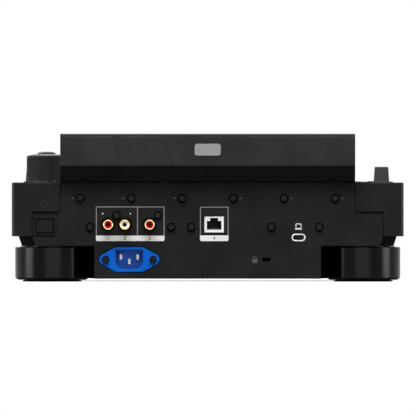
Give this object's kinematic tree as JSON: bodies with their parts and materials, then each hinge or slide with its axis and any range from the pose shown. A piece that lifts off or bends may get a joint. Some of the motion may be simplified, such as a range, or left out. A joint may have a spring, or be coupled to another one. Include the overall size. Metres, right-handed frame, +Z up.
{
  "type": "tabletop media player",
  "caption": "Flat DJ media player on four round feet: jog wheel, pads and tempo fader on top, tilted touch display, sockets on the rear panel.",
  "frame": {"origin": "on the table, under the middle of the cabinet's outline", "axes": "+Z up, +Y towards the rear panel with the sockets, +X towards the user's right"},
  "size_m": [0.3294, 0.453, 0.1243],
  "materials": {
    "bezel_black": "gloss",
    "board_green": "solder mask",
    "bush_plastic": "self-lubricating",
    "case_black": "fine texture, satin",
    "clear_ring": "smoked, unlit",
    "disc_steel": "satin",
    "fader_metal": "plated",
    "foot_black": "semi-gloss",
    "head_black": "fine texture, satin",
    "inlet_blue": "satin",
    "inner_plastic": "matte",
    "jack_gold": "plated",
    "key_black": "satin",
    "key_clear": "milky, unlit",
    "panel_black": "black anodised, satin",
    "platter_metal": "black anodised, brushed",
    "rubber_black": "matte",
    "screen_glass": "dark, polished",
    "screw_black": "black zinc",
    "shield_metal": "plated",
    "steel_black": "black powder coat"
  },
  "bodies": {
    "cabinet": {"top_cover": "case_black", "control_panel": "panel_black", "bottom_chassis": "steel_black", "rear_panel": "steel_black", "feet": "foot_black", "foot_pads": "rubber_black", "screws": "screw_black", "display_housing": "head_black", "display_bezel": "bezel_black", "touch_display": "screen_glass", "jog_base": "inner_plastic", "jog_light_ring": "clear_ring", "jog_display": "screen_glass", "tempo_fader": "fader_metal", "power_switch": "inner_plastic", "audio_jacks": "jack_gold", "network_jack": "shield_metal", "usb_ports": "shield_metal", "power_inlet": "inlet_blue", "control_boards": "board_green", "main_board": "board_green", "power_supply": "board_green"},
    "jog_carrier": {"jog_bearing": "bush_plastic"},
    "jog_wheel": {"jog_platter": "platter_metal", "jog_rim": "key_black", "jog_encoder_disc": "disc_steel"},
    "selector_rotor": {"selector_rotor": "shield_metal"},
    "selector_knob": {"selector_knob": "key_black"},
    "jog_adjust_knob": {"jog_adjust_knob": "key_black"},
    "speed_adjust_knob": {"speed_adjust_knob": "key_black"},
    "tempo_slider": {"tempo_slider": "key_black"},
    "direction_lever": {"direction_lever": "key_black"},
    "power_button": {"power_button": "key_black"},
    "play_button": {"play_button": "key_black"},
    "cue_button": {"cue_button": "key_black"},
    "search_back_button": {"search_back_button": "key_black"},
    "search_forward_button": {"search_forward_button": "key_black"},
    "track_back_button": {"track_back_button": "key_black"},
    "track_forward_button": {"track_forward_button": "key_black"},
    "beat_back_button": {"beat_back_button": "key_black"},
    "beat_forward_button": {"beat_forward_button": "key_black"},
    "loop_in_button": {"loop_in_button": "key_black"},
    "loop_out_button": {"loop_out_button": "key_black"},
    "reloop_button": {"reloop_button": "key_black"},
    "sync_key": {"sync_key": "key_black"},
    "master_key": {"master_key": "key_black"},
    "tempo_reset_key": {"tempo_reset_key": "key_black"},
    "hot_cue_1": {"hot_cue_1": "key_clear"},
    "hot_cue_2": {"hot_cue_2": "key_clear"},
    "hot_cue_3": {"hot_cue_3": "key_clear"},
    "hot_cue_4": {"hot_cue_4": "key_clear"},
    "hot_cue_5": {"hot_cue_5": "key_clear"},
    "hot_cue_6": {"hot_cue_6": "key_clear"},
    "hot_cue_7": {"hot_cue_7": "key_clear"},
    "hot_cue_8": {"hot_cue_8": "key_clear"},
    "mode_keys": {"mode_keys": "key_black"},
    "browse_keys": {"browse_keys": "key_black"},
    "memory_keys": {"memory_keys": "key_black"},
    "tempo_keys": {"tempo_keys": "key_black"},
    "menu_keys": {"menu_keys": "key_black"}
  },
  "joints": [
    {"name": "jog_press", "type": "slide", "parent": "cabinet", "child": "jog_carrier", "axis": [0, 0, 1], "range_m": [-0.0005, 0], "stiffness_N_per_m": 4000, "springref_m": 0.002},
    {"name": "jog_spin", "type": "hinge", "parent": "jog_carrier", "child": "jog_wheel", "pos_m": [0, -0.086, 0.0835], "axis": [0, 0, 1], "continuous": true},
    {"name": "selector_turn", "type": "hinge", "parent": "cabinet", "child": "selector_rotor", "pos_m": [0.1369, 0.05186, 0.0835], "axis": [0, 0, 1], "continuous": true},
    {"name": "selector_press", "type": "slide", "parent": "selector_rotor", "child": "selector_knob", "axis": [0, 0, 1], "range_m": [-0.001, 0], "stiffness_N_per_m": 500, "springref_m": 0.002},
    {"name": "jog_adjust_knob_turn", "type": "hinge", "parent": "cabinet", "child": "jog_adjust_knob", "pos_m": [0.148, 0.01186, 0.0835], "axis": [0, 0, 1], "range_deg": [-140, 140]},
    {"name": "speed_adjust_knob_turn", "type": "hinge", "parent": "cabinet", "child": "speed_adjust_knob", "pos_m": [0.122, 0.01186, 0.0835], "axis": [0, 0, 1], "range_deg": [-140, 140]},
    {"name": "tempo_slide", "type": "slide", "parent": "cabinet", "child": "tempo_slider", "axis": [0, 1, 0], "range_m": [-0.05, 0.05]},
    {"name": "direction_lever_swing", "type": "hinge", "parent": "cabinet", "child": "direction_lever", "pos_m": [-0.1487, -0.053, 0.077], "axis": [1, 0, 0], "range_deg": [-15, 15]},
    {"name": "power_press", "type": "slide", "parent": "cabinet", "child": "power_button", "axis": [0, 1, 0], "range_m": [-0.003, 0], "stiffness_N_per_m": 300, "springref_m": 0.002},
    {"name": "play_press", "type": "slide", "parent": "cabinet", "child": "play_button", "axis": [0, 0, 1], "range_m": [-0.0009, 0], "stiffness_N_per_m": 300, "springref_m": 0.002},
    {"name": "cue_press", "type": "slide", "parent": "cabinet", "child": "cue_button", "axis": [0, 0, 1], "range_m": [-0.0009, 0], "stiffness_N_per_m": 300, "springref_m": 0.002},
    {"name": "search_back_press", "type": "slide", "parent": "cabinet", "child": "search_back_button", "axis": [0, 0, 1], "range_m": [-0.0006, 0], "stiffness_N_per_m": 300, "springref_m": 0.002},
    {"name": "search_forward_press", "type": "slide", "parent": "cabinet", "child": "search_forward_button", "axis": [0, 0, 1], "range_m": [-0.0006, 0], "stiffness_N_per_m": 300, "springref_m": 0.002},
    {"name": "track_back_press", "type": "slide", "parent": "cabinet", "child": "track_back_button", "axis": [0, 0, 1], "range_m": [-0.0006, 0], "stiffness_N_per_m": 300, "springref_m": 0.002},
    {"name": "track_forward_press", "type": "slide", "parent": "cabinet", "child": "track_forward_button", "axis": [0, 0, 1], "range_m": [-0.0006, 0], "stiffness_N_per_m": 300, "springref_m": 0.002},
    {"name": "beat_back_press", "type": "slide", "parent": "cabinet", "child": "beat_back_button", "axis": [0, 0, 1], "range_m": [-0.0006, 0], "stiffness_N_per_m": 300, "springref_m": 0.002},
    {"name": "beat_forward_press", "type": "slide", "parent": "cabinet", "child": "beat_forward_button", "axis": [0, 0, 1], "range_m": [-0.0006, 0], "stiffness_N_per_m": 300, "springref_m": 0.002},
    {"name": "loop_in_press", "type": "slide", "parent": "cabinet", "child": "loop_in_button", "axis": [0, 0, 1], "range_m": [-0.0006, 0], "stiffness_N_per_m": 300, "springref_m": 0.002},
    {"name": "loop_out_press", "type": "slide", "parent": "cabinet", "child": "loop_out_button", "axis": [0, 0, 1], "range_m": [-0.0006, 0], "stiffness_N_per_m": 300, "springref_m": 0.002},
    {"name": "reloop_press", "type": "slide", "parent": "cabinet", "child": "reloop_button", "axis": [0, 0, 1], "range_m": [-0.0006, 0], "stiffness_N_per_m": 300, "springref_m": 0.002},
    {"name": "sync_press", "type": "slide", "parent": "cabinet", "child": "sync_key", "axis": [0, 0, 1], "range_m": [-0.0006, 0], "stiffness_N_per_m": 300, "springref_m": 0.002},
    {"name": "master_press", "type": "slide", "parent": "cabinet", "child": "master_key", "axis": [0, 0, 1], "range_m": [-0.0006, 0], "stiffness_N_per_m": 300, "springref_m": 0.002},
    {"name": "tempo_reset_press", "type": "slide", "parent": "cabinet", "child": "tempo_reset_key", "axis": [0, 0, 1], "range_m": [-0.0006, 0], "stiffness_N_per_m": 300, "springref_m": 0.002},
    {"name": "hot_cue_1_press", "type": "slide", "parent": "cabinet", "child": "hot_cue_1", "axis": [0, 0, 1], "range_m": [-0.0008, 0], "stiffness_N_per_m": 300, "springref_m": 0.002},
    {"name": "hot_cue_2_press", "type": "slide", "parent": "cabinet", "child": "hot_cue_2", "axis": [0, 0, 1], "range_m": [-0.0008, 0], "stiffness_N_per_m": 300, "springref_m": 0.002},
    {"name": "hot_cue_3_press", "type": "slide", "parent": "cabinet", "child": "hot_cue_3", "axis": [0, 0, 1], "range_m": [-0.0008, 0], "stiffness_N_per_m": 300, "springref_m": 0.002},
    {"name": "hot_cue_4_press", "type": "slide", "parent": "cabinet", "child": "hot_cue_4", "axis": [0, 0, 1], "range_m": [-0.0008, 0], "stiffness_N_per_m": 300, "springref_m": 0.002},
    {"name": "hot_cue_5_press", "type": "slide", "parent": "cabinet", "child": "hot_cue_5", "axis": [0, 0, 1], "range_m": [-0.0008, 0], "stiffness_N_per_m": 300, "springref_m": 0.002},
    {"name": "hot_cue_6_press", "type": "slide", "parent": "cabinet", "child": "hot_cue_6", "axis": [0, 0, 1], "range_m": [-0.0008, 0], "stiffness_N_per_m": 300, "springref_m": 0.002},
    {"name": "hot_cue_7_press", "type": "slide", "parent": "cabinet", "child": "hot_cue_7", "axis": [0, 0, 1], "range_m": [-0.0008, 0], "stiffness_N_per_m": 300, "springref_m": 0.002},
    {"name": "hot_cue_8_press", "type": "slide", "parent": "cabinet", "child": "hot_cue_8", "axis": [0, 0, 1], "range_m": [-0.0008, 0], "stiffness_N_per_m": 300, "springref_m": 0.002},
    {"name": "mode_keys_press", "type": "slide", "parent": "cabinet", "child": "mode_keys", "axis": [0, 0, 1], "range_m": [-0.0006, 0], "stiffness_N_per_m": 300, "springref_m": 0.002},
    {"name": "browse_keys_press", "type": "slide", "parent": "cabinet", "child": "browse_keys", "axis": [0, 0, 1], "range_m": [-0.0006, 0], "stiffness_N_per_m": 300, "springref_m": 0.002},
    {"name": "memory_keys_press", "type": "slide", "parent": "cabinet", "child": "memory_keys", "axis": [0, 0, 1], "range_m": [-0.0006, 0], "stiffness_N_per_m": 300, "springref_m": 0.002},
    {"name": "tempo_keys_press", "type": "slide", "parent": "cabinet", "child": "tempo_keys", "axis": [0, 0, 1], "range_m": [-0.0006, 0], "stiffness_N_per_m": 300, "springref_m": 0.002},
    {"name": "menu_keys_press", "type": "slide", "parent": "cabinet", "child": "menu_keys", "axis": [0, -0.2374, 0.9714], "range_m": [-0.0006, 0], "stiffness_N_per_m": 300, "springref_m": 0.002}
  ]
}
